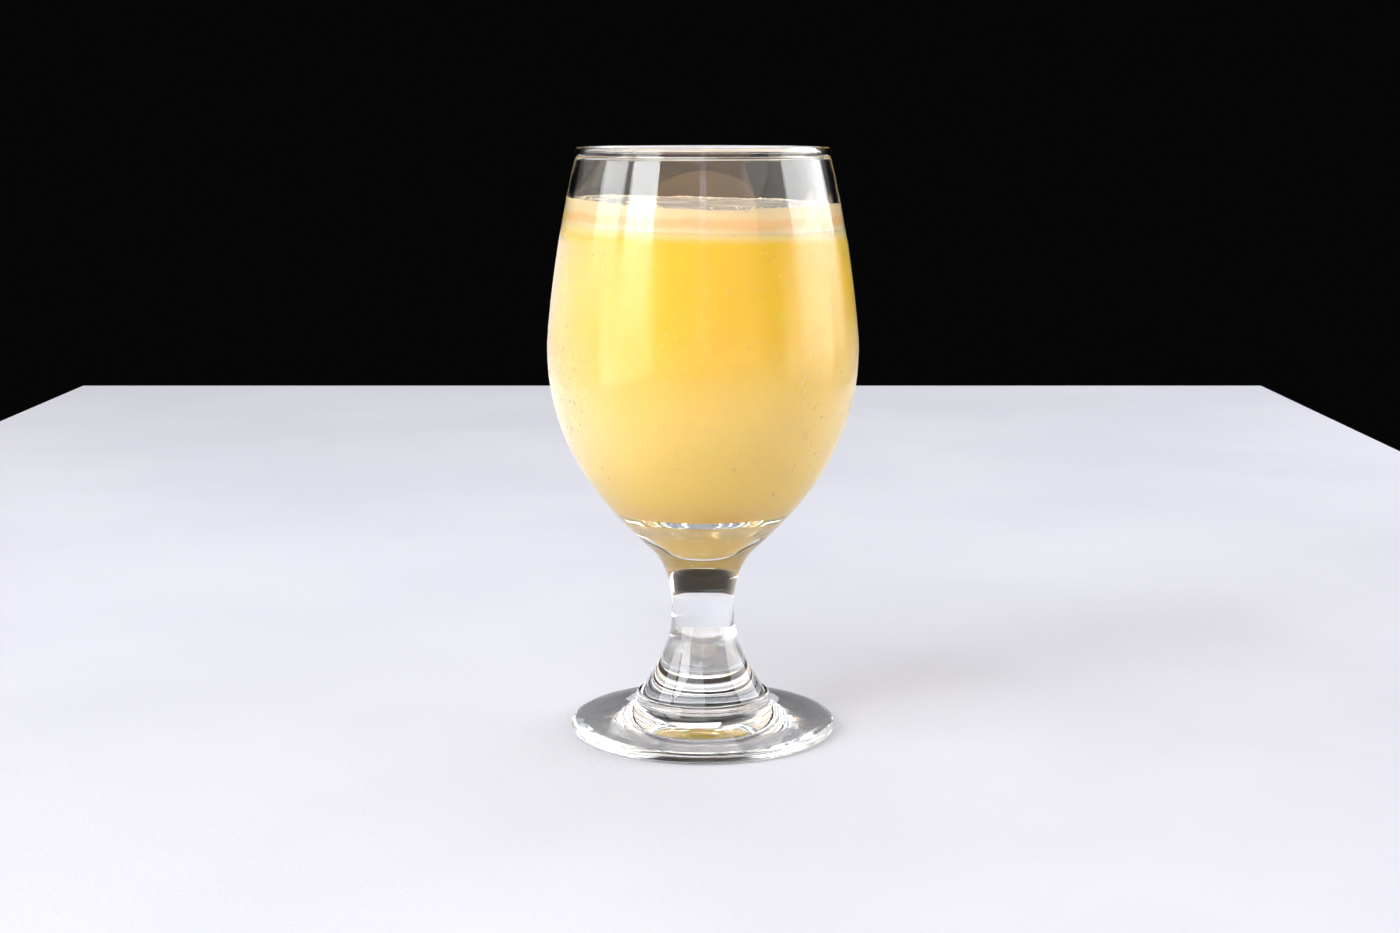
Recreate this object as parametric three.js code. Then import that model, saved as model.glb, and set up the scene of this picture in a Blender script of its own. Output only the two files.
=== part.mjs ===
// Mango lassi in a short-stemmed goblet: one pressed clear glass, the drink in it and its froth.
// Millimetres, +Z up. The glass stands on the plane z = 0 and its axis is Z.
import * as THREE from "three";

const { degToRad } = THREE.MathUtils;

// Heights of the goblet, from the rim down to the foot
const height = 150;
const bellyHeight = 99.4;
const neckHeight = 47.9;
const waistTop = 33.3;
const waistBottom = 31;
const collarTop = 9.6;
const collarFoot = 7.6;
const footEdge = 2.6;
const footHollow = 2;

// Outer radii of the goblet, from the rim down to the foot
const rimRadius = 32.16;
const bellyRadius = 39.55;
const neckRadius = 13.7;
const waistRadius = 8.05;
const coneRadius = 16.2;
const collarRadius = 17.3;
const footRadius = 34.44;
const hollowRadius = 30;

// Edges: how far the collar flares at its foot, and the rounding of its upper edge
const collarFlare = 0.2;
const collarRoundDown = 0.7;
const collarRoundIn = 0.6;

// Wall of the bowl, and the bead rolled on its rim
const wallAtRim = 1.7;
const wallAtBelly = 2.6;
const beadRadius = 1.24;
const beadGroove = 0.6;
const beadStart = degToRad(-40);

// Inside bottom of the bowl: a sloping ring from the shoulder to a bell-shaped well
const shoulderRadius = 21.8;
const shoulderHeight = 58.9;
const wellRadius = 17.8;
const wellHeight = 57.8;
const bendRadius = 8.5;
const bendHeight = 53.8;
const wellBottom = 48.8;

// Lean from the vertical of the wall under the rim, of the neck, and of the cone over the collar
const rimLean = degToRad(13.8);
const neckLean = degToRad(48.3);
const coneLean = degToRad(31.4);

// Lean from the vertical inside: of the bowl at the shoulder, of the well at its top and at its bend
const shoulderLean = degToRad(45);
const wellLean = degToRad(68);
const bendLean = degToRad(52);

// Reach of the curves' handles along their end tangents
const reach = {
  rim: 23,
  bellyUp: 4,
  bellyDown: 15.2,
  neckUp: 28.5,
  neckDown: 5.1,
  waistUp: 4.9,
  waistDown: 7.8,
  cone: 9.9,
  footIn: 5,
  footRise: 0.5,
  collarDown: 3,
  insideDown: 22,
  shoulderUp: 14,
  wellDown: 4,
  bend: 3,
  bottom: 5,
};

// The drink: levels on the axis, the slope of its top towards +X, and the saddle of the froth
const lassiLevel = 130.3;
const frothLevel = 136;
const levelSlope = Math.tan(degToRad(1.3));
const frothSaddle = 0.5;
const frothRings = 4;
const clearance = 0.3;

// Facets round the axis, and the least distance between two points of a section
const sides = 48;
const leastStep = 1e-6;

const at = (radius, z) => new THREE.Vector2(radius, z);

// The point at a distance up from another, on a line that leans outwards from the vertical.
function along(point, lean, distance) {
  return at(point.x + Math.sin(lean) * distance, point.y + Math.cos(lean) * distance);
}

function bezier(start, startHandle, endHandle, end) {
  return new THREE.CubicBezierCurve(start, startHandle, endHandle, end);
}

function bend(start, corner, end) {
  return new THREE.QuadraticBezierCurve(start, corner, end);
}

function arc(centre, radius, from, to) {
  return new THREE.EllipseCurve(centre.x, centre.y, radius, radius, from, to);
}

// The points without those that repeat the one before.
function distinct(points) {
  return points.filter((point, i) => i === 0 || point.distanceTo(points[i - 1]) > leastStep);
}

// Points along a run of curves, each given with its number of steps.
function sample(run) {
  const points = [];
  for (const [curve, steps] of run) {
    points.push(...curve.getPoints(steps));
  }
  return distinct(points);
}

// A section turned about the Z axis.
function turned(section) {
  return new THREE.LatheGeometry(section, sides).rotateX(Math.PI / 2);
}

// Key points of the section
const beadCentre = at(rimRadius - beadRadius, height - beadRadius);
const rim = at(rimRadius, beadCentre.y - beadRadius - beadGroove);
const rimInside = at(rim.x - wallAtRim, rim.y);
const belly = at(bellyRadius, bellyHeight);
const bellyInside = at(bellyRadius - wallAtBelly, bellyHeight);
const shoulder = at(shoulderRadius, shoulderHeight);
const wellTop = at(wellRadius, wellHeight);
const wellBend = at(bendRadius, bendHeight);
const neck = at(neckRadius, neckHeight);
const waistUpper = at(waistRadius, waistTop);
const waistLower = at(waistRadius, waistBottom);
const cone = at(coneRadius, collarTop);
const collarEdge = at(collarRadius, collarTop);
const collarLow = at(collarRadius + collarFlare, collarFoot);
const edgeCentre = at(footRadius - footEdge / 2, footEdge / 2);
const footTop = at(edgeCentre.x, footEdge);
const hollow = at(hollowRadius, 0);
const hollowTop = at(0, footHollow);

// Inner wall of the bowl, running down
const innerUpper = bezier(
  rimInside,
  along(rimInside, -rimLean, -reach.rim),
  along(bellyInside, 0, reach.bellyUp),
  bellyInside,
);
const innerLower = bezier(
  bellyInside,
  along(bellyInside, 0, -reach.insideDown),
  along(shoulder, shoulderLean, reach.shoulderUp),
  shoulder,
);
const wellUpper = bezier(
  wellTop,
  along(wellTop, wellLean, -reach.wellDown),
  along(wellBend, bendLean, reach.bend),
  wellBend,
);
const wellLower = bezier(
  wellBend,
  along(wellBend, bendLean, -reach.bend),
  at(reach.bottom, wellBottom),
  at(0, wellBottom),
);
const innerRun = [
  [innerUpper, 7],
  [innerLower, 9],
  [wellUpper, 3],
  [wellLower, 4],
];

function footRun() {
  const underside = bend(hollowTop, at(hollowRadius / 2, footHollow), hollow);
  const edge = arc(edgeCentre, footEdge / 2, -Math.PI / 2, Math.PI / 2);
  const inwards = at(footTop.x - reach.footIn, footTop.y + reach.footRise);
  const top = bezier(footTop, inwards, along(collarLow, 0, -reach.collarDown), collarLow);
  return [
    [underside, 3],
    [edge, 6],
    [top, 7],
  ];
}

function stemRun() {
  const collarSide = at(collarRadius, collarTop - collarRoundDown);
  const collarRound = bend(collarSide, collarEdge, at(collarRadius - collarRoundIn, collarTop));
  const coneSide = bezier(
    cone,
    along(cone, -coneLean, reach.cone),
    along(waistLower, 0, -reach.waistDown),
    waistLower,
  );
  const neckSide = bezier(
    waistUpper,
    along(waistUpper, 0, reach.waistUp),
    along(neck, neckLean, -reach.neckDown),
    neck,
  );
  return [
    [collarRound, 3],
    [coneSide, 7],
    [neckSide, 6],
  ];
}

function bowlRun() {
  const lower = bezier(
    neck,
    along(neck, neckLean, reach.neckUp),
    along(belly, 0, -reach.bellyDown),
    belly,
  );
  const upper = bezier(
    belly,
    along(belly, 0, reach.bellyUp),
    along(rim, -rimLean, -reach.rim),
    rim,
  );
  const bead = arc(beadCentre, beadRadius, beadStart, Math.PI - beadStart);
  return [
    [lower, 10],
    [upper, 6],
    [bead, 8],
  ];
}

function glassGeometry() {
  return turned(sample([...footRun(), ...stemRun(), ...bowlRun(), ...innerRun]));
}

// The inner wall from its bottom up, drawn in by the clearance.
function wallOfDrink() {
  const points = [];
  for (const [curve, steps] of innerRun) {
    for (let step = 0; step <= steps; step++) {
      const run = curve.getTangent(step / steps);
      const inwards = at(run.y, -run.x).multiplyScalar(clearance);
      points.push(curve.getPoint(step / steps).add(inwards));
    }
  }
  return distinct(points.reverse());
}

// Where the drink's wall crosses a level.
function wallAt(wall, level) {
  const above = wall.findIndex((point) => point.y > level);
  const [low, high] = [wall[above - 1], wall[above]];
  return low.clone().lerp(high, (level - low.y) / (high.y - low.y));
}

// Every vertex from a height up is raised by a function of its place.
function raise(geometry, from, rise) {
  const place = geometry.getAttribute("position");
  for (let i = 0; i < place.count; i++) {
    if (place.getZ(i) > from) {
      place.setZ(i, place.getZ(i) + rise(place.getX(i), place.getY(i)));
    }
  }
  return geometry;
}

const slope = (x) => -levelSlope * x;

function lassiGeometry() {
  const wall = wallOfDrink();
  const edge = wallAt(wall, lassiLevel);
  const tilt = levelSlope * edge.x;
  const side = wall.filter((point) => point.y < lassiLevel - 2 * tilt);
  const section = [...side, edge, at(0, lassiLevel)];
  return raise(turned(section), lassiLevel - tilt, slope);
}

function frothGeometry() {
  const wall = wallOfDrink();
  const under = wallAt(wall, lassiLevel + clearance);
  const edge = wallAt(wall, frothLevel);
  const section = [at(0, under.y), under, edge];
  for (let ring = frothRings - 1; ring >= 0; ring--) {
    section.push(at((edge.x * ring) / frothRings, frothLevel));
  }
  const saddle = (x, y) => (frothSaddle * (x * x - y * y)) / edge.x ** 2;
  const tilted = raise(turned(section), 0, slope);
  return raise(tilted, (lassiLevel + frothLevel) / 2, saddle);
}

function part(name, geometry, look) {
  const mesh = new THREE.Mesh(geometry, new THREE.MeshStandardMaterial(look));
  mesh.name = name;
  return mesh;
}

const clearGlass = { color: 0xf4f7f7, roughness: 0.02, metalness: 0, transparent: true, opacity: 0.3 };
const mangoLassi = { color: 0xf7c95a, roughness: 0.4, metalness: 0 };
const creamFroth = { color: 0xf8dca0, roughness: 0.55, metalness: 0 };

const glassOfLassi = new THREE.Group();
glassOfLassi.add(
  part("glass", glassGeometry(), clearGlass),
  part("lassi", lassiGeometry(), mangoLassi),
  part("froth", frothGeometry(), creamFroth),
);

export default glassOfLassi;
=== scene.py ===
import bpy
import math
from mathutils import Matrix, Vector


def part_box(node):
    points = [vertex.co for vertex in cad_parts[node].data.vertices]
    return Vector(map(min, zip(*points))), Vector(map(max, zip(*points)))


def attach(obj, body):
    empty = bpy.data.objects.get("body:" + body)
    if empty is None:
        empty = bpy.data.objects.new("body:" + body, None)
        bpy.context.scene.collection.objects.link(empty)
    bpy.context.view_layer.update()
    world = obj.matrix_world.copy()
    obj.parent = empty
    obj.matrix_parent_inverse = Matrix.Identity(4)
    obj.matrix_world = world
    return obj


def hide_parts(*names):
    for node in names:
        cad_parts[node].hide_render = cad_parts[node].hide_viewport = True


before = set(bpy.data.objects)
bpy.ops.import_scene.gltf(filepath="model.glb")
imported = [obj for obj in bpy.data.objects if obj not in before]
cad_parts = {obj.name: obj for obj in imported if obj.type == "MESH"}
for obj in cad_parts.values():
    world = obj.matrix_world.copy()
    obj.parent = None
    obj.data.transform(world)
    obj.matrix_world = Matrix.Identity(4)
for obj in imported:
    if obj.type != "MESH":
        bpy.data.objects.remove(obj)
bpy.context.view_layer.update()  # goblet, lassi and froth as packed
mm = 0.001
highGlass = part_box("glass")[1]
bellyRadius = highGlass[0] / mm  # the glass is widest at its belly
glassHeight = highGlass[2] / mm
mergeWithin = 0.002 * mm
smoothUnder = math.radians(30)
print("frame loaded:", sorted(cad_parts))


# Small helpers for drawing and turning outlines

def deselectAll():
    bpy.ops.object.select_all(action="DESELECT")


def heading(degrees):
    # 0 points up the axis, 90 straight away from it
    turn = math.radians(degrees)
    return Vector((math.sin(turn), 0, math.cos(turn)))


def arcReach(radius, degrees):
    # reach of the handles that bend a curve into an arc
    return radius * 4 / 3 * math.tan(math.radians(degrees) / 4)


def knot(radius, z, turn, back, ahead, turnOut=None):
    # one point of an outline in mm, with the reach of its two handles
    return radius, z, turn, back, turn if turnOut is None else turnOut, ahead


def drawOutline(name, knots, steps):
    deselectAll()
    bpy.ops.curve.primitive_bezier_curve_add(location=(0, 0, 0))
    outline = bpy.context.object
    outline.name = name
    outline.data.name = name
    outline.data.dimensions = "3D"
    outline.data.resolution_u = steps
    spline = outline.data.splines[0]
    spline.bezier_points.add(len(knots) - 2)
    for point, (radius, z, turnIn, back, turnOut, ahead) in zip(spline.bezier_points, knots):
        point.handle_left_type = "FREE"
        point.handle_right_type = "FREE"
        place = Vector((radius, 0, z))
        point.co = place * mm
        point.handle_left = (place - heading(turnIn) * back) * mm
        point.handle_right = (place + heading(turnOut) * ahead) * mm
    bpy.ops.object.convert(target="MESH")
    return bpy.context.object


def spinRound(piece, turns):
    bpy.ops.object.mode_set(mode="EDIT")
    bpy.ops.mesh.select_all(action="SELECT")
    bpy.ops.mesh.spin(steps=turns, angle=math.tau, center=(0, 0, 0), axis=(0, 0, 1))
    bpy.ops.mesh.select_all(action="SELECT")
    bpy.ops.mesh.remove_doubles(threshold=mergeWithin)
    bpy.ops.mesh.normals_make_consistent(inside=False)
    bpy.ops.object.mode_set(mode="OBJECT")
    bpy.ops.object.shade_smooth_by_angle(angle=smoothUnder)
    return piece


# Small helpers for materials

def newMaterial(name):
    material = bpy.data.materials.new(name)
    material.use_nodes = True
    nodes = material.node_tree.nodes
    return material, nodes, material.node_tree.links, nodes["Principled BSDF"]


def objectCoords(nodes):
    return nodes.new("ShaderNodeTexCoord").outputs["Object"]


def splitUp(nodes, links, vector):
    split = nodes.new("ShaderNodeSeparateXYZ")
    links.new(vector, split.inputs["Vector"])
    return split.outputs


def fadeBetween(nodes, links, value, start, end):
    # 0 at the start, 1 at the end and smooth between them
    ramp = nodes.new("ShaderNodeMapRange")
    ramp.interpolation_type = "SMOOTHSTEP"
    ramp.inputs["From Min"].default_value = start
    ramp.inputs["From Max"].default_value = end
    links.new(value, ramp.inputs["Value"])
    return ramp.outputs["Result"]


def noiseAt(nodes, links, place, scale, detail):
    grain = nodes.new("ShaderNodeTexNoise")
    grain.inputs["Scale"].default_value = scale
    grain.inputs["Detail"].default_value = detail
    links.new(place, grain.inputs["Vector"])
    return grain.outputs["Fac"]


def reckon(nodes, links, operation, first, second):
    # one sum of two values, each a number or a socket
    step = nodes.new("ShaderNodeMath")
    step.operation = operation
    for socket, value in zip(step.inputs, (first, second)):
        if isinstance(value, (int, float)):
            socket.default_value = value
        else:
            links.new(value, socket)
    return step.outputs["Value"]


def bandBetween(nodes, links, value, levels):
    # rises over the first two levels in mm and falls over the last two
    low, lowFull, highFull, high = (level * mm for level in levels)
    rising = fadeBetween(nodes, links, value, low, lowFull)
    falling = fadeBetween(nodes, links, value, high, highFull)
    return reckon(nodes, links, "MULTIPLY", rising, falling)


def fadeOver(nodes, links, value, levels):
    # the same fade, over two levels in mm
    start, full = (level * mm for level in levels)
    return fadeBetween(nodes, links, value, start, full)


def blend(nodes, links, factor, first, second):
    # from the first colour to the second, each a colour or a socket
    tone = nodes.new("ShaderNodeMix")
    tone.data_type = "RGBA"
    links.new(factor, tone.inputs["Factor"])
    for socket, value in ((tone.inputs["A"], first), (tone.inputs["B"], second)):
        if isinstance(value, tuple):
            socket.default_value = value
        else:
            links.new(value, socket)
    return tone.outputs["Result"]


def levelRise(nodes, links, split, lean):
    # height measured against a level that leans down towards +X
    tilt = reckon(nodes, links, "MULTIPLY", split["X"], math.tan(math.radians(lean)))
    return reckon(nodes, links, "ADD", split["Z"], tilt)


def scatterLight(shader, body):
    shader.inputs["Subsurface Weight"].default_value = body["scattering"]
    shader.inputs["Subsurface Radius"].default_value = body["scatterReach"]
    shader.inputs["Subsurface Scale"].default_value = body["softness"] * mm


def roughen(nodes, links, shader, height, depth, strength):
    bump = nodes.new("ShaderNodeBump")
    bump.inputs["Distance"].default_value = depth * mm
    bump.inputs["Strength"].default_value = strength
    links.new(height, bump.inputs["Height"])
    links.new(bump.outputs["Normal"], shader.inputs["Normal"])


# Goblet: outer and inner outline in one run, from the hollow under the foot to the inside bottom

goblet = {
    "bellyHeight": 99.4,
    "neckHeight": 47.9,
    "waistTop": 33.3,
    "waistBottom": 31.0,
    "collarTop": 9.6,
    "collarFoot": 7.6,
    "footEdge": 2.6,
    "footHollow": 2.0,
    "rimRadius": 32.16,
    "neckRadius": 13.7,
    "waistRadius": 8.05,
    "coneRadius": 16.2,
    "collarRadius": 17.3,
    "collarFlare": 0.2,
    "collarRoundDown": 0.7,
    "collarRoundIn": 0.6,
    "footRadius": 34.44,
    "hollowRadius": 30.0,
    "wallAtRim": 1.7,
    "wallAtBelly": 2.6,
    "beadRadius": 1.24,
    "beadGroove": 0.6,
    "beadStart": -40,  # degrees, below the level of the bead's middle
    "beadArcs": 4,
    "rimLean": 13.8,  # leans in degrees from the vertical
    "neckLean": 48.3,
    "coneLean": 31.4,
    "innerLeans": (45, 75, 68, 52),  # shoulder, step, well and bend inside the bowl
    "hollowTurn": 95,
    "footTopTurn": -86,
    "shoulderRadius": 21.8,
    "shoulderHeight": 58.9,
    "wellRadius": 17.8,
    "wellHeight": 57.8,
    "bendRadius": 8.5,
    "bendHeight": 53.8,
    "bowlBottom": 48.8,
    "reach": {  # of the handles along the outline
        "hollow": 4,
        "ring": 1,
        "footIn": 5,
        "collarDown": 3,
        "collarSide": 0.4,
        "collarRound": 0.35,
        "collarTop": 0.2,
        "cone": 9.9,
        "waistDown": 7.8,
        "waist": 0.7,
        "waistUp": 4.9,
        "neckDown": 5.1,
        "neckUp": 28.5,
        "bellyDown": 15.2,
        "bellyUp": 4,
        "rim": 23,
        "groove": 0.4,
        "insideDown": 22,
        "shoulderUp": 14,
        "step": 1.2,
        "wellDown": 4,
        "bend": 3,
        "bottom": 5,
    },
    "outlineSteps": 14,
    "turns": 144,
    "ior": 1.52,
    "tint": (0.82, 0.94, 0.97, 1),
    "tintDepth": 6.0,
    "mist": 0.14,  # mist of condensation: roughness and a pale veil
    "mistOver": 0.07,
    "mistBand": (57.0, 92.0, 126.0, 131.5),
    "patchNoise": (70, 3),
    "patchDepth": 0.5,
    "patchLeast": 0.75,
    "veil": 0.5,
    "veilRoughness": 0.6,
    "veilThin": 0.42,
    "thinBand": (96.0, 116.0),
    "veilMore": 0.4,
    "moreBand": (-8.0, -28.0),
    "smudge": 0.02,
    "smudgeNoise": (35, 2),
    "waviness": 0.03,  # depth of the uneven surface
    "waveNoise": (45.0, 0),
    "footRipples": 0.11,
    "rippleNoise": (110.0, 1),
    "rippleBand": (12.0, 8.0),
}


def grooveHeight(glass):
    return glassHeight - 2 * glass["beadRadius"] - glass["beadGroove"]


def innerWall(glass, out):
    # inner wall running down, set outwards by a distance
    reach = glass["reach"]
    shoulder, step, well, bend = (lean - 180 for lean in glass["innerLeans"])
    rimIn = glass["rimRadius"] - glass["wallAtRim"] + out
    bellyIn = bellyRadius - glass["wallAtBelly"] + out
    shoulderOut, shoulderDown = glass["shoulderRadius"] + out, glass["shoulderHeight"] - out
    wellOut, wellDown = glass["wellRadius"] + out, glass["wellHeight"] - out
    return [
        knot(rimIn, grooveHeight(glass), 180 - glass["rimLean"], reach["groove"], reach["rim"]),
        knot(bellyIn, glass["bellyHeight"], 180, reach["bellyUp"], reach["insideDown"]),
        knot(shoulderOut, shoulderDown, shoulder, reach["shoulderUp"], reach["step"], step),
        knot(wellOut, wellDown, step, reach["step"], reach["wellDown"], well),
        knot(glass["bendRadius"] + out, glass["bendHeight"] - out, bend, reach["bend"], reach["bend"]),
        knot(0, glass["bowlBottom"] - out, -90, reach["bottom"], 0),
    ]


def outerWall(glass):
    # outside of the bowl, from the neck to the groove under the bead
    reach = glass["reach"]
    neck = glass["neckRadius"]
    return [
        knot(neck, glass["neckHeight"], glass["neckLean"], reach["neckDown"], reach["neckUp"]),
        knot(bellyRadius, glass["bellyHeight"], 0, reach["bellyDown"], reach["bellyUp"]),
        knot(glass["rimRadius"], grooveHeight(glass), -glass["rimLean"], reach["rim"], reach["groove"]),
    ]


def footAndStem(glass):
    reach = glass["reach"]
    half = glass["footEdge"] / 2
    edge = arcReach(half, 90)
    edgeMiddle = glass["footRadius"] - half
    collar, collarTop = glass["collarRadius"], glass["collarTop"]
    side = reach["collarSide"]
    return [
        knot(0, glass["footHollow"], 90, 0, glass["hollowRadius"] / 2),
        knot(glass["hollowRadius"], 0, glass["hollowTurn"], reach["hollow"], reach["ring"], 90),
        knot(edgeMiddle, 0, 90, reach["ring"], edge),
        knot(glass["footRadius"], half, 0, edge, edge),
        knot(edgeMiddle, glass["footEdge"], glass["footTopTurn"], edge, reach["footIn"]),
        knot(collar + glass["collarFlare"], glass["collarFoot"], 0, reach["collarDown"], side),
        knot(collar, collarTop - glass["collarRoundDown"], 0, side, side),
        knot(collar - glass["collarRoundIn"], collarTop, -90, reach["collarRound"], reach["collarTop"]),
        knot(glass["coneRadius"], collarTop, -90, reach["collarTop"], reach["cone"], -glass["coneLean"]),
        knot(glass["waistRadius"], glass["waistBottom"], 0, reach["waistDown"], reach["waist"]),
        knot(glass["waistRadius"], glass["waistTop"], 0, reach["waist"], reach["waistUp"]),
    ]


def rimBead(glass):
    bead = glass["beadRadius"]
    middle = Vector((glass["rimRadius"] - bead, 0, glassHeight - bead))
    arc = (180 - 2 * glass["beadStart"]) / glass["beadArcs"]
    along = arcReach(bead, arc)
    knots = []
    for step in range(glass["beadArcs"] + 1):
        turn = glass["beadStart"] + arc * step
        place = middle + bead * heading(90 - turn)
        knots.append(knot(place.x, place.z, -turn, along, along))
    return knots


def makeGoblet(glass):
    knots = footAndStem(glass) + outerWall(glass) + rimBead(glass) + innerWall(glass, 0)
    return spinRound(drawOutline("goblet", knots, glass["outlineSteps"]), glass["turns"])


def clearGlass(glass):
    material, nodes, links, shader = newMaterial("clearGlass")
    shader.inputs["Base Color"].default_value = (1, 1, 1, 1)
    shader.inputs["IOR"].default_value = glass["ior"]
    shader.inputs["Transmission Weight"].default_value = 1.0
    place = objectCoords(nodes)
    split = splitUp(nodes, links, place)
    upper = fadeOver(nodes, links, split["Z"], glass["thinBand"])
    patchy = mistPatches(glass, nodes, links, place, split["Z"])
    over = reckon(nodes, links, "MULTIPLY", upper, glass["mistOver"])
    dense = reckon(nodes, links, "ADD", glass["mist"], over)
    mist = reckon(nodes, links, "MULTIPLY", patchy, dense)  # chilled glass is misted where the drink is
    smudges = noiseAt(nodes, links, place, *glass["smudgeNoise"])
    smudges = reckon(nodes, links, "MULTIPLY", smudges, glass["smudge"])
    links.new(reckon(nodes, links, "ADD", mist, smudges), shader.inputs["Roughness"])
    veil = mistVeil(glass, nodes, links, upper, split["X"])
    links.new(reckon(nodes, links, "MULTIPLY", patchy, veil), shader.inputs["Sheen Weight"])
    shader.inputs["Sheen Roughness"].default_value = glass["veilRoughness"]
    height = unevenGlass(glass, nodes, links, place, split["Z"])
    roughen(nodes, links, shader, height, 1.0, 1.0)  # the height is in mm already
    body = nodes.new("ShaderNodeVolumeAbsorption")
    body.inputs["Color"].default_value = glass["tint"]
    body.inputs["Density"].default_value = glass["tintDepth"]
    links.new(body.outputs["Volume"], nodes["Material Output"].inputs["Volume"])
    return material


def mistPatches(glass, nodes, links, place, height):
    patches = noiseAt(nodes, links, place, *glass["patchNoise"])
    patches = reckon(nodes, links, "MULTIPLY", patches, glass["patchDepth"])
    patches = reckon(nodes, links, "ADD", patches, glass["patchLeast"])
    return reckon(nodes, links, "MULTIPLY", bandBetween(nodes, links, height, glass["mistBand"]), patches)


def mistVeil(glass, nodes, links, upper, across):
    # thicker at the -X side, thinner in the rest of the upper half
    aside = fadeOver(nodes, links, across, glass["moreBand"])
    rest = reckon(nodes, links, "MULTIPLY", upper, reckon(nodes, links, "SUBTRACT", 1.0, aside))
    more = reckon(nodes, links, "MULTIPLY", aside, glass["veilMore"])
    less = reckon(nodes, links, "MULTIPLY", rest, glass["veilThin"])
    return reckon(nodes, links, "SUBTRACT", reckon(nodes, links, "ADD", glass["veil"], more), less)


def unevenGlass(glass, nodes, links, place, height):
    waves = noiseAt(nodes, links, place, *glass["waveNoise"])
    waves = reckon(nodes, links, "MULTIPLY", waves, glass["waviness"])
    ripples = noiseAt(nodes, links, place, *glass["rippleNoise"])
    ripples = reckon(nodes, links, "MULTIPLY", ripples, glass["footRipples"])
    onFoot = fadeOver(nodes, links, height, glass["rippleBand"])
    return reckon(nodes, links, "ADD", waves, reckon(nodes, links, "MULTIPLY", ripples, onFoot))


gobletPiece = makeGoblet(goblet)
gobletPiece.data.materials.append(clearGlass(goblet))
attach(gobletPiece, "root")
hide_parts("glass")
print("goblet:", len(gobletPiece.data.polygons), "faces")


# Lassi: fills the bowl and reaches just into the wall

lassi = {
    "level": 130.3,
    "lean": 1.3,
    "intoWall": 0.12,
    "belowRim": 4.0,  # lid of the outline, cut off at the level
    "lidReach": 5,
    "outlineSteps": 24,
    "turns": 128,
    "colour": (0.98, 0.68, 0.035, 1),
    "paler": (0.98, 0.71, 0.055, 1),
    "swirlNoise": (38, 3),
    "swirlFade": (0.35, 0.7),
    # painted light: the lower drink is painted paler, for light bounced up from the floor, and the well a
    # paler amber
    "lower": (0.99, 0.76, 0.22, 1),
    "lowerBand": (108.0, 78.0),
    "bottom": (0.99, 0.69, 0.25, 1),
    "paintedWellBand": (66.0, 58.0),
    "cream": (0.99, 0.82, 0.44, 1),
    "creamLine": (3.2, 0.4),  # depths under the level
    "wetIor": 0.888,  # from glass into the drink
    "mirrorBand": (61.0, 59.3),
    "roughness": 0.02,
    "scattering": 0.7,
    "scatterReach": (1.0, 0.6, 0.2),
    "softness": 0.6,
}


def makeLassi(glass, drink):
    wall = innerWall(glass, drink["intoWall"])
    lidRadius = wall[0][0]
    lidHeight = glassHeight - drink["belowRim"]
    groove = glass["reach"]["groove"]
    knots = [
        knot(0, lidHeight, 90, 0, drink["lidReach"]),
        knot(lidRadius, lidHeight, 90, drink["lidReach"], groove, 180 - glass["rimLean"]),
    ]
    fill = drawOutline("lassiDrink", knots + wall, drink["outlineSteps"])
    spinRound(fill, drink["turns"])
    bpy.ops.object.mode_set(mode="EDIT")
    bpy.ops.mesh.select_all(action="SELECT")
    lean = math.radians(drink["lean"])
    bpy.ops.mesh.bisect(
        plane_co=(0, 0, drink["level"] * mm),
        plane_no=(math.sin(lean), 0, math.cos(lean)),
        use_fill=True,
        clear_outer=True,
    )
    bpy.ops.object.mode_set(mode="OBJECT")
    return fill


def mangoLassi(drink):
    material, nodes, links, shader = newMaterial("mangoLassi")
    place = objectCoords(nodes)
    split = splitUp(nodes, links, place)
    swirl = noiseAt(nodes, links, place, *drink["swirlNoise"])
    swirl = fadeBetween(nodes, links, swirl, *drink["swirlFade"])
    tone = blend(nodes, links, swirl, drink["colour"], drink["paler"])
    # painted light: paler towards the bottom and a paler amber in the well, standing for light bounced up
    # from the floor
    paintedFloorGlow = fadeOver(nodes, links, split["Z"], drink["lowerBand"])
    tone = blend(nodes, links, paintedFloorGlow, tone, drink["lower"])
    paintedWellGlow = fadeOver(nodes, links, split["Z"], drink["paintedWellBand"])
    tone = blend(nodes, links, paintedWellGlow, tone, drink["bottom"])
    rise = levelRise(nodes, links, split, drink["lean"])
    nearTop = fadeOver(nodes, links, rise, [drink["level"] - depth for depth in drink["creamLine"]])
    tone = blend(nodes, links, nearTop, tone, drink["cream"])
    skin = nodes.new("ShaderNodeFresnel")  # the wet contact in the well mirrors at flat angles
    skin.inputs["IOR"].default_value = drink["wetIor"]
    inWell = fadeOver(nodes, links, split["Z"], drink["mirrorBand"])
    mirror = reckon(nodes, links, "MULTIPLY", skin.outputs["Fac"], inWell)
    tone = blend(nodes, links, mirror, tone, (1.0, 1.0, 1.0, 1.0))
    links.new(tone, shader.inputs["Base Color"])
    links.new(mirror, shader.inputs["Metallic"])
    shader.inputs["Roughness"].default_value = drink["roughness"]
    shader.inputs["Specular IOR Level"].default_value = 0.0
    scatterLight(shader, drink)
    return material


lassiPiece = makeLassi(goblet, lassi)
lassiPiece.data.materials.append(mangoLassi(lassi))
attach(lassiPiece, "root")
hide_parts("lassi")
print("lassi:", len(lassiPiece.data.polygons), "faces")


# Froth: the paler layer on the drink

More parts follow.
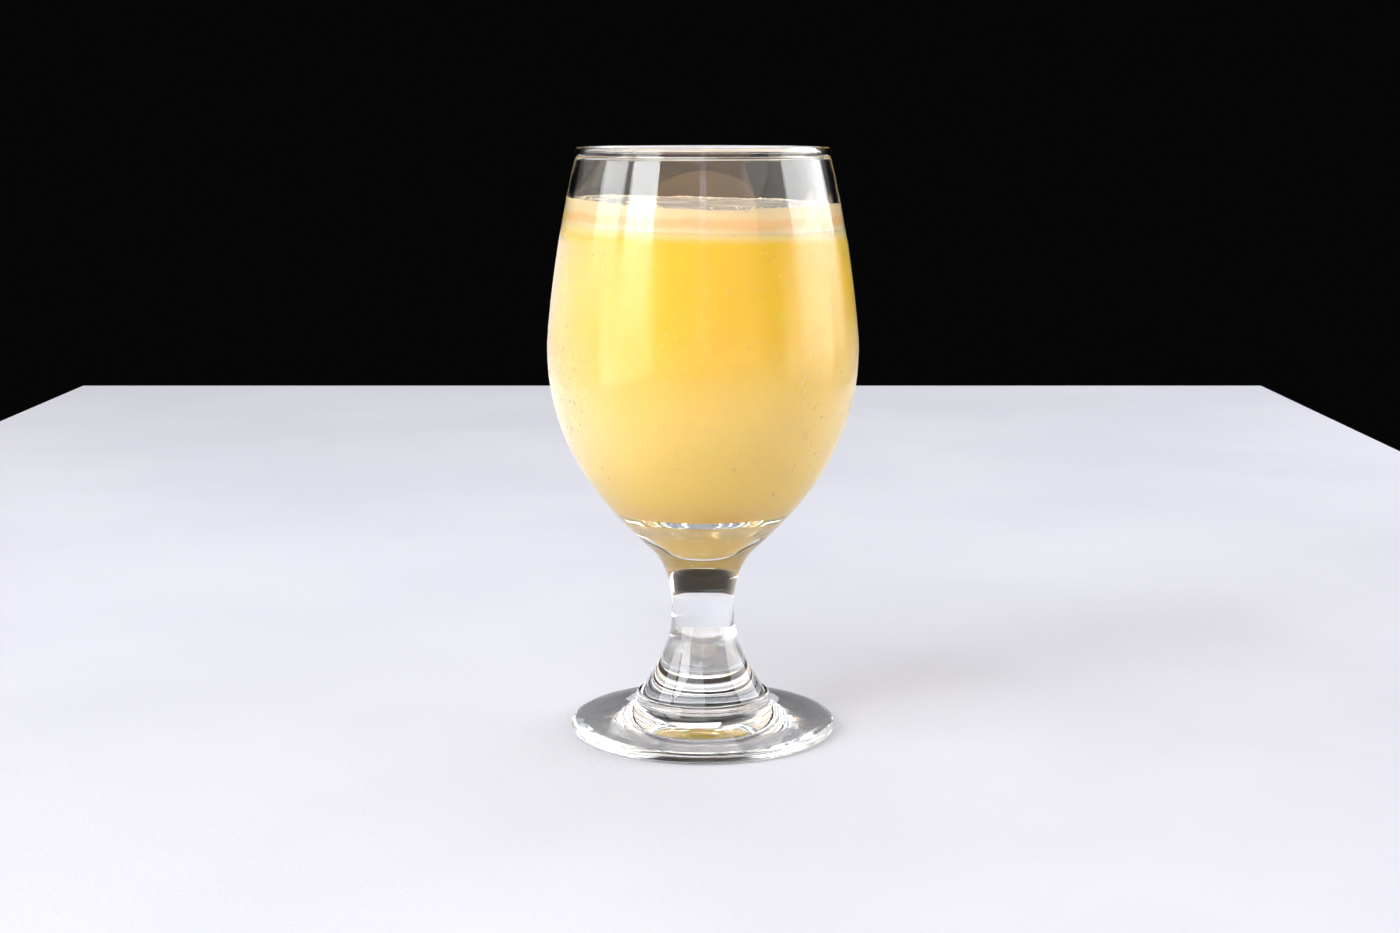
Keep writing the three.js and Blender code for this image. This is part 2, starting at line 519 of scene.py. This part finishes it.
froth = {
    "level": 136.0,
    "saddle": 0.5,
    "waves": 0.55,
    "waveNoise": (9.0, 1),  # length and detail
    "meniscus": 0.3,
    "meniscusSpread": 3,  # how many times as wide as high
    "under": 0.3,
    "intoWall": 0.2,
    "curlTurn": -160,
    "reach": {"floor": 5, "side": 1, "curl": 0.5, "lip": 1, "top": 4},
    "wallSteps": 80,
    "rings": 56,
    "turns": 128,
    "cream": (0.97, 0.80, 0.52, 1),
    # painted reflection: the top's milky tone is greyed, standing for the dark surround mirrored at flat
    # angles
    "peach": (0.95, 0.67, 0.35, 1),
    "milkAndPaintedReflection": (0.78, 0.72, 0.63, 1),
    "cloudNoise": (90, 4),
    "peachBand": (130.6, 131.6, 132.6, 134.2),
    "raggedness": 3.0,
    "upward": (0.5, 0.9),  # from the side's colours to the top's, by the normal; the top is painted greyer, a painted reflection of the dark surround
    "topFade": (0.45, 0.75),
    "roughness": 0.1,
    "foamNoise": (900, 3),
    "foamDepth": 0.3,
    "foamStrength": 0.3,
    "scattering": 0.6,
    "scatterReach": (1.0, 0.7, 0.4),
    "softness": 1.0,
}


def wallRadius(glass, foam, z):
    # radius of the inner wall at a height, read off its drawn outline
    outline = drawOutline("wallOutline", innerWall(glass, foam["intoWall"])[:2], foam["wallSteps"])
    points = [vertex.co / mm for vertex in outline.data.vertices]
    bpy.data.objects.remove(outline)
    return min(points, key=lambda point: abs(point.z - z)).x


def raiseTop(piece, name, weight, lift, waves=None):
    # lifts the vertices by their weight, evenly or in waves of a length and detail
    group = piece.vertex_groups.new(name=name)
    for vertex in piece.data.vertices:
        group.add([vertex.index], weight(vertex.co / mm), "REPLACE")
    modifier = piece.modifiers.new(name, "DISPLACE")
    modifier.vertex_group = name
    modifier.direction = "Z"
    modifier.strength = lift * mm
    modifier.mid_level = 0.0
    if waves:
        length, detail = waves
        modifier.texture = bpy.data.textures.new(name, "CLOUDS")
        modifier.texture.noise_scale = length * mm
        modifier.texture.noise_depth = detail
        modifier.texture_coords = "LOCAL"
        modifier.mid_level = 0.5
    bpy.ops.object.modifier_apply(modifier=name)


def makeFroth(glass, foam, drink):
    reach = foam["reach"]
    floorLevel = drink["level"] - foam["under"]
    topLevel = foam["level"] - foam["saddle"]
    lipLevel = topLevel + foam["meniscus"]
    lowWall = wallRadius(glass, foam, floorLevel)
    topWall = wallRadius(glass, foam, lipLevel)
    flatTo = topWall - foam["meniscusSpread"] * foam["meniscus"]
    knots = [
        knot(0, floorLevel, 90, 0, reach["floor"]),
        knot(lowWall, floorLevel, 90, reach["floor"], reach["side"], -glass["rimLean"]),
        knot(topWall, lipLevel, -glass["rimLean"], reach["side"], reach["curl"], foam["curlTurn"]),
        knot(flatTo, topLevel, -90, reach["lip"], reach["top"]),
        knot(0, topLevel, -90, reach["top"], 0),
    ]
    layer = drawOutline("frothLayer", knots, foam["rings"])
    spinRound(layer, foam["turns"])
    middle = (floorLevel + topLevel) / 2

    def saddleWeight(place):
        return 0.5 + (place.x ** 2 - place.y ** 2) / (2 * topWall ** 2) if place.z > middle else 0

    def topWeight(place):
        return 1 if place.z > middle else 0

    # each lift is the whole range, from the lowest point to the highest
    raiseTop(layer, "saddle", saddleWeight, 2 * foam["saddle"])
    raiseTop(layer, "waves", topWeight, 2 * foam["waves"], foam["waveNoise"])
    bpy.ops.object.mode_set(mode="EDIT")
    bpy.ops.mesh.select_all(action="SELECT")
    bpy.ops.transform.rotate(
        value=-math.radians(drink["lean"]),
        orient_axis="Y",
        center_override=(0, 0, drink["level"] * mm),
    )
    bpy.ops.object.mode_set(mode="OBJECT")
    return layer


def creamFroth(foam, drink):
    material, nodes, links, shader = newMaterial("creamFroth")
    place = objectCoords(nodes)
    rise = levelRise(nodes, links, splitUp(nodes, links, place), drink["lean"])
    cloud = noiseAt(nodes, links, place, *foam["cloudNoise"])
    uneven = reckon(nodes, links, "MULTIPLY", cloud, foam["raggedness"] * mm)
    ragged = reckon(nodes, links, "ADD", rise, uneven)
    levels = [level + foam["raggedness"] / 2 for level in foam["peachBand"]]
    band = bandBetween(nodes, links, ragged, levels)
    side = blend(nodes, links, band, foam["cream"], foam["peach"])
    # painted reflection: faces turned up take the greyed milky tone, standing for the dark surround
    # mirrored at flat angles
    normal = nodes.new("ShaderNodeNewGeometry").outputs["Normal"]
    upward = fadeBetween(nodes, links, splitUp(nodes, links, normal)["Z"], *foam["upward"])
    creamy = fadeBetween(nodes, links, cloud, *foam["topFade"])
    top = blend(nodes, links, creamy, foam["milkAndPaintedReflection"], foam["cream"])
    links.new(blend(nodes, links, upward, side, top), shader.inputs["Base Color"])
    shader.inputs["Roughness"].default_value = foam["roughness"]
    scatterLight(shader, foam)
    grain = noiseAt(nodes, links, place, *foam["foamNoise"])
    roughen(nodes, links, shader, grain, foam["foamDepth"], foam["foamStrength"])
    return material


frothPiece = makeFroth(goblet, froth, lassi)
frothPiece.data.materials.append(creamFroth(froth, lassi))
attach(frothPiece, "root")
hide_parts("froth")
print("froth:", len(frothPiece.data.polygons), "faces")


# Small things strewn over a skin: one is modelled, the copies are joined in one mesh

sortFrom = (0.37, 0.11, -0.05)  # off every axis, so that hardly any two faces are equally far


def fromAxis(nodes, links, place):
    level = nodes.new("ShaderNodeVectorMath")
    level.operation = "MULTIPLY"
    level.inputs[1].default_value = (1, 1, 0)
    links.new(place, level.inputs[0])
    radius = nodes.new("ShaderNodeVectorMath")
    radius.operation = "LENGTH"
    links.new(level.outputs["Vector"], radius.inputs[0])
    return radius.outputs["Value"]


def strewnAmount(nodes, links, spread):
    # within a band of height and radius, and more in patches
    place = nodes.new("GeometryNodeInputPosition").outputs["Position"]
    amount = bandBetween(nodes, links, splitUp(nodes, links, place)["Z"], spread["heights"])
    ring = fadeOver(nodes, links, fromAxis(nodes, links, place), spread["radii"])
    amount = reckon(nodes, links, "MULTIPLY", amount, ring)
    patches = noiseAt(nodes, links, place, *spread["patchNoise"])
    patches = fadeBetween(nodes, links, patches, *spread["patchFade"])
    amount = reckon(nodes, links, "MULTIPLY", amount, patches)
    return reckon(nodes, links, "MULTIPLY", amount, spread["perSquareMm"] / mm ** 2)


def strewnTree(name, item, spread):
    tree = bpy.data.node_groups.new(name, "GeometryNodeTree")
    tree.interface.new_socket("Geometry", in_out="INPUT", socket_type="NodeSocketGeometry")
    tree.interface.new_socket("Geometry", in_out="OUTPUT", socket_type="NodeSocketGeometry")
    nodes, links = tree.nodes, tree.links
    start = nodes.new("NodeGroupInput")
    end = nodes.new("NodeGroupOutput")
    points = nodes.new("GeometryNodeDistributePointsOnFaces")
    points.inputs["Seed"].default_value = spread["seed"]
    links.new(start.outputs["Geometry"], points.inputs["Mesh"])
    links.new(strewnAmount(nodes, links, spread), points.inputs["Density"])
    source = nodes.new("GeometryNodeObjectInfo")
    source.inputs["Object"].default_value = item
    chance = nodes.new("FunctionNodeRandomValue")
    chance.inputs["Seed"].default_value = spread["seed"] + 1
    uneven = reckon(nodes, links, "POWER", chance.outputs["Value"], spread["unevenness"])
    least, most = spread["sizes"]
    sized = reckon(nodes, links, "ADD", reckon(nodes, links, "MULTIPLY", uneven, most - least), least)
    copies = nodes.new("GeometryNodeInstanceOnPoints")
    links.new(points.outputs["Points"], copies.inputs["Points"])
    links.new(points.outputs["Rotation"], copies.inputs["Rotation"])
    links.new(source.outputs["Geometry"], copies.inputs["Instance"])
    links.new(sized, copies.inputs["Scale"])
    joined = nodes.new("GeometryNodeRealizeInstances")
    links.new(copies.outputs["Instances"], joined.inputs["Geometry"])
    links.new(joined.outputs["Geometry"], end.inputs["Geometry"])
    return tree


def strew(name, skin, item, spread):
    tree = strewnTree(name, item, spread)
    deselectAll()
    bpy.context.view_layer.objects.active = skin
    skin.select_set(True)
    # faces in a fixed order, so that every run strews alike
    bpy.context.scene.cursor.location = sortFrom
    bpy.ops.object.mode_set(mode="EDIT")
    bpy.ops.mesh.select_all(action="SELECT")
    bpy.ops.mesh.sort_elements(type="CURSOR_DISTANCE", elements={"FACE"})
    bpy.ops.object.mode_set(mode="OBJECT")
    bpy.context.scene.cursor.location = (0, 0, 0)
    skin.modifiers.new("strewn", "NODES").node_group = tree
    bpy.ops.object.modifier_apply(modifier="strewn")
    bpy.ops.object.shade_smooth()
    bpy.data.objects.remove(item)
    skin.name = name
    skin.data.name = name
    skin.data.materials.clear()
    return skin


def makeDome(name, bead):
    # a bead of 1 mm radius, cut off, flattened and sunk a little
    deselectAll()
    bpy.ops.mesh.primitive_ico_sphere_add(subdivisions=bead["roundness"], radius=mm, location=(0, 0, 0))
    dome = bpy.context.object
    dome.name = name
    bpy.ops.object.mode_set(mode="EDIT")
    bpy.ops.mesh.select_all(action="SELECT")
    bpy.ops.mesh.bisect(
        plane_co=(0, 0, bead["cut"] * mm),
        plane_no=(0, 0, 1),
        use_fill=True,
        clear_inner=True,
    )
    bpy.ops.mesh.select_all(action="SELECT")
    bpy.ops.transform.translate(value=(0, 0, -(bead["cut"] + bead["sunk"]) * mm))
    bpy.ops.transform.resize(value=(1, 1, bead["flatness"]), center_override=(0, 0, 0))
    bpy.ops.object.mode_set(mode="OBJECT")
    return dome


# Condensation: drops on the chilled outside of the bowl

drops = {
    "heights": (62.0, 86.0, 127.0, 131.0),
    "radii": (0.0, 0.1),
    "patchNoise": (42.0, 2),
    "patchFade": (0.40, 0.66),
    "perSquareMm": 0.4,
    "sizes": (0.18, 0.62),
    "unevenness": 2.5,
    "seed": 7,
    "roundness": 2,
    "cut": 0.3,
    "flatness": 0.48,
    "sunk": 0.08,
    "skinSteps": 10,
    "skinTurns": 48,
    "ior": 1.13,
    "coatIor": 1.33,
    "coatRoughness": 0.05,
    "dullNoise": (200, 2),
    "dulling": 0.12,
}


def makeDrops(glass, drop):
    skin = spinRound(drawOutline("bowlSkin", outerWall(glass), drop["skinSteps"]), drop["skinTurns"])
    return strew("condensation", skin, makeDome("drop", drop), drop)


def waterDrop(drop):
    material, nodes, links, shader = newMaterial("waterDrop")
    shader.inputs["Base Color"].default_value = (1, 1, 1, 1)
    shader.inputs["IOR"].default_value = drop["ior"]
    shader.inputs["Transmission Weight"].default_value = 1.0
    shader.inputs["Coat Weight"].default_value = 1.0
    shader.inputs["Coat IOR"].default_value = drop["coatIor"]
    shader.inputs["Coat Roughness"].default_value = drop["coatRoughness"]
    dull = noiseAt(nodes, links, objectCoords(nodes), *drop["dullNoise"])
    links.new(reckon(nodes, links, "MULTIPLY", dull, drop["dulling"]), shader.inputs["Roughness"])
    return material


dropsPiece = makeDrops(goblet, drops)
dropsPiece.data.materials.append(waterDrop(drops))
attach(dropsPiece, "root")
print("drops:", len(dropsPiece.data.polygons), "faces")


# Bubbles on the froth, most of them along the wall

bubbles = {
    "heights": (133.0, 134.0, 139.0, 140.0),
    "radii": (22.0, 33.0),
    "patchNoise": (60.0, 2),
    "patchFade": (0.38, 0.62),
    "perSquareMm": 0.5,
    "sizes": (0.2, 0.6),
    "unevenness": 2.0,
    "seed": 3,
    "roundness": 2,
    "cut": -0.35,
    "flatness": 0.8,
    "sunk": 0.35,
    "steepest": 0.7,
    "filmNoise": (120, 2),
    "roughness": 0.12,
    "scattering": 0.3,
    "scatterReach": (1.0, 0.7, 0.4),
    "softness": 0.2,
}


def makeBubbles(bubble, layer):
    deselectAll()
    bpy.context.view_layer.objects.active = layer
    layer.select_set(True)
    bpy.ops.object.duplicate()
    skin = bpy.context.object
    for mark in list(skin.keys()):  # the copy stands for no solid
        del skin[mark]
    bpy.ops.object.mode_set(mode="EDIT")
    bpy.ops.mesh.select_mode(type="FACE")
    bpy.ops.mesh.select_all(action="DESELECT")
    bpy.ops.object.mode_set(mode="OBJECT")
    for face in skin.data.polygons:
        face.select = face.normal.z < bubble["steepest"]
    bpy.ops.object.mode_set(mode="EDIT")
    bpy.ops.mesh.delete(type="FACE")
    bpy.ops.mesh.select_mode(type="VERT")
    bpy.ops.object.mode_set(mode="OBJECT")
    return strew("frothBubbles", skin, makeDome("bubble", bubble), bubble)


def bubbleFilm(bubble, foam):
    material, nodes, links, shader = newMaterial("bubbleFilm")
    cloud = noiseAt(nodes, links, objectCoords(nodes), *bubble["filmNoise"])
    # the milky tone carries the painted grey reflection of the froth's top
    links.new(blend(nodes, links, cloud, foam["milkAndPaintedReflection"], foam["cream"]), shader.inputs["Base Color"])
    shader.inputs["Roughness"].default_value = bubble["roughness"]
    scatterLight(shader, bubble)
    return material


bubblesPiece = makeBubbles(bubbles, frothPiece)
bubblesPiece.data.materials.append(bubbleFilm(bubbles, froth))
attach(bubblesPiece, "root")
print("bubbles:", len(bubblesPiece.data.polygons), "faces")


# Floor under the foot

floor = {
    "left": -370,
    "right": 335,
    "front": -450,
    "back": 710,
    "below": 0.2,
    "colour": (0.61, 0.63, 0.70, 1),
    "faded": (0.575, 0.595, 0.665, 1),
    "cloudNoise": (7, 3),
    "cloudFade": (0.35, 0.65),
    "roughness": 0.85,
    "shine": 0.1,
    "grainNoise": (700, 3),
    "grainDepth": 0.4,
    "grainStrength": 0.35,
}


def makeFloor(area):
    deselectAll()
    across = (area["left"] + area["right"]) / 2
    along = (area["front"] + area["back"]) / 2
    bpy.ops.mesh.primitive_plane_add(size=mm, location=(across * mm, along * mm, -area["below"] * mm))
    ground = bpy.context.object
    ground.name = "floor"
    ground.scale = (area["right"] - area["left"], area["back"] - area["front"], 1)
    bpy.ops.object.transform_apply(location=True, rotation=True, scale=True)
    ground.data.materials.append(paleFloor(area))


def paleFloor(area):
    material, nodes, links, shader = newMaterial("paleFloor")
    place = objectCoords(nodes)
    cloud = noiseAt(nodes, links, place, *area["cloudNoise"])
    cloud = fadeBetween(nodes, links, cloud, *area["cloudFade"])
    links.new(blend(nodes, links, cloud, area["colour"], area["faded"]), shader.inputs["Base Color"])
    shader.inputs["Roughness"].default_value = area["roughness"]
    shader.inputs["Specular IOR Level"].default_value = area["shine"]
    grain = noiseAt(nodes, links, place, *area["grainNoise"])
    roughen(nodes, links, shader, grain, area["grainDepth"], area["grainStrength"])
    return material


makeFloor(floor)
print("floor laid")


# Lights: turn counts from the camera's side of the glass, plus to the right; metres and watts

lightAim = Vector((0, 0, 100 * mm))
daylight = (0.97, 0.985, 1.0)
lights = {
    "leftFront": {
        "turn": -53, "rise": 19, "away": 1.3, "size": (0.55, 0.85),
        "power": 12, "fade": 0.5, "colour": daylight,
    },
    "leftSide": {
        "turn": -85, "rise": 19, "away": 1.3, "size": (0.56, 0.85),
        "power": 7, "fade": 0.5, "colour": daylight,
    },
    "rightSide": {
        "turn": 103, "rise": 13, "away": 1.3, "size": (1.25, 0.95),
        "power": 17, "fade": 0.5, "colour": daylight,
    },
    "frontTop": {
        "turn": -32, "rise": 50, "away": 1.5, "size": (1.4, 1.0),
        "power": 13, "fade": 0.1, "colour": daylight,
    },
    "backTop": {
        "turn": 165, "rise": 54, "away": 1.5, "size": (1.3, 0.9),
        "power": 5, "fade": 0.1, "colour": daylight,
    },
    "warmFront": {
        "turn": 0, "rise": 9, "away": 2.2, "size": (4.2, 1.5),
        "power": 34, "fade": 0.2, "colour": (1.0, 0.62, 0.33),
    },
    "leftFill": {
        "turn": -58, "rise": -3, "away": 1.4, "size": (1.1, 0.7),
        "power": 8, "fade": 0.1, "colour": (1.0, 0.92, 0.8),
    },
    "rightFill": {
        "turn": 86, "rise": -2, "away": 1.5, "size": (1.3, 0.8),
        "power": 8, "fade": 0.4, "colour": (1.0, 0.88, 0.72),
    },
    "narrowFront": {
        "turn": 0, "rise": 14, "away": 2.1, "size": (0.2, 0.9),
        "power": 0.8, "fade": 0.1, "colour": (0.75, 0.72, 1.0),
    },
}


def hangLight(name, turn, rise, away, size, power, fade, colour):
    deselectAll()
    level = away * math.cos(math.radians(rise))
    fromAim = Vector((
        level * math.sin(math.radians(turn)),
        -level * math.cos(math.radians(turn)),
        away * math.sin(math.radians(rise)),
    ))
    bpy.ops.object.light_add(type="AREA", location=lightAim + fromAim)
    lamp = bpy.context.object
    lamp.name = name
    lamp.data.shape = "RECTANGLE"
    lamp.data.size, lamp.data.size_y = size
    lamp.data.energy = power
    lamp.data.color = colour
    lamp.rotation_euler = (-fromAim).to_track_quat("-Z", "Y").to_euler()
    lamp.visible_camera = False
    softenLight(lamp.data, fade)


def softenLight(lampData, fade):
    # the lower part of the panel fades out
    lampData.use_nodes = True
    nodes = lampData.node_tree.nodes
    links = lampData.node_tree.links
    panel = nodes.new("ShaderNodeNewGeometry").outputs["Parametric"]
    glow = fadeBetween(nodes, links, splitUp(nodes, links, panel)["Y"], 0, fade)
    links.new(glow, nodes["Emission"].inputs["Strength"])


for name, lamp in lights.items():
    hangLight(name, **lamp)
print("lights:", len(lights))


# Studio round the glass: dark behind it, dim at its sides and behind the camera

studio = {
    "behind": (0.002, 0.002, 0.002, 1),
    "around": (0.40, 0.37, 0.36, 1),
    "edge": (0.88, 0.35),
}


def surround(shades):
    world = bpy.data.worlds.new("studio")
    bpy.context.scene.world = world
    world.use_nodes = True
    nodes = world.node_tree.nodes
    links = world.node_tree.links
    direction = splitUp(nodes, links, objectCoords(nodes))
    aside = fadeBetween(nodes, links, direction["Y"], *shades["edge"])
    tone = blend(nodes, links, aside, shades["behind"], shades["around"])
    links.new(tone, nodes["Background"].inputs["Color"])


surround(studio)
print("studio dimmed")


# Camera, and how far light is followed through the glass

view = {
    "place": (-0.75 * mm, -527.5 * mm, 156.5 * mm),
    "pitch": 9.44,
    "focalPixels": 2081.8,
    "imageWidth": 1400,
    "sensorWidth": 36,
    "nearest": 10 * mm,
    "bounces": {"all": 48, "diffuse": 10, "transmission": 32, "glossy": 32},
}


def setCamera(shot):
    deselectAll()
    bpy.ops.object.camera_add(location=shot["place"], rotation=(math.radians(90 - shot["pitch"]), 0, 0))
    camera = bpy.context.object
    camera.data.sensor_width = shot["sensorWidth"]
    camera.data.lens = shot["sensorWidth"] * shot["focalPixels"] / shot["imageWidth"]
    camera.data.clip_start = shot["nearest"]
    scene = bpy.context.scene
    scene.camera = camera
    scene.view_settings.view_transform = "Standard"
    bounces = shot["bounces"]
    scene.cycles.max_bounces = bounces["all"]
    scene.cycles.diffuse_bounces = bounces["diffuse"]
    scene.cycles.transmission_bounces = bounces["transmission"]
    scene.cycles.glossy_bounces = bounces["glossy"]


setCamera(view)
print("camera set")
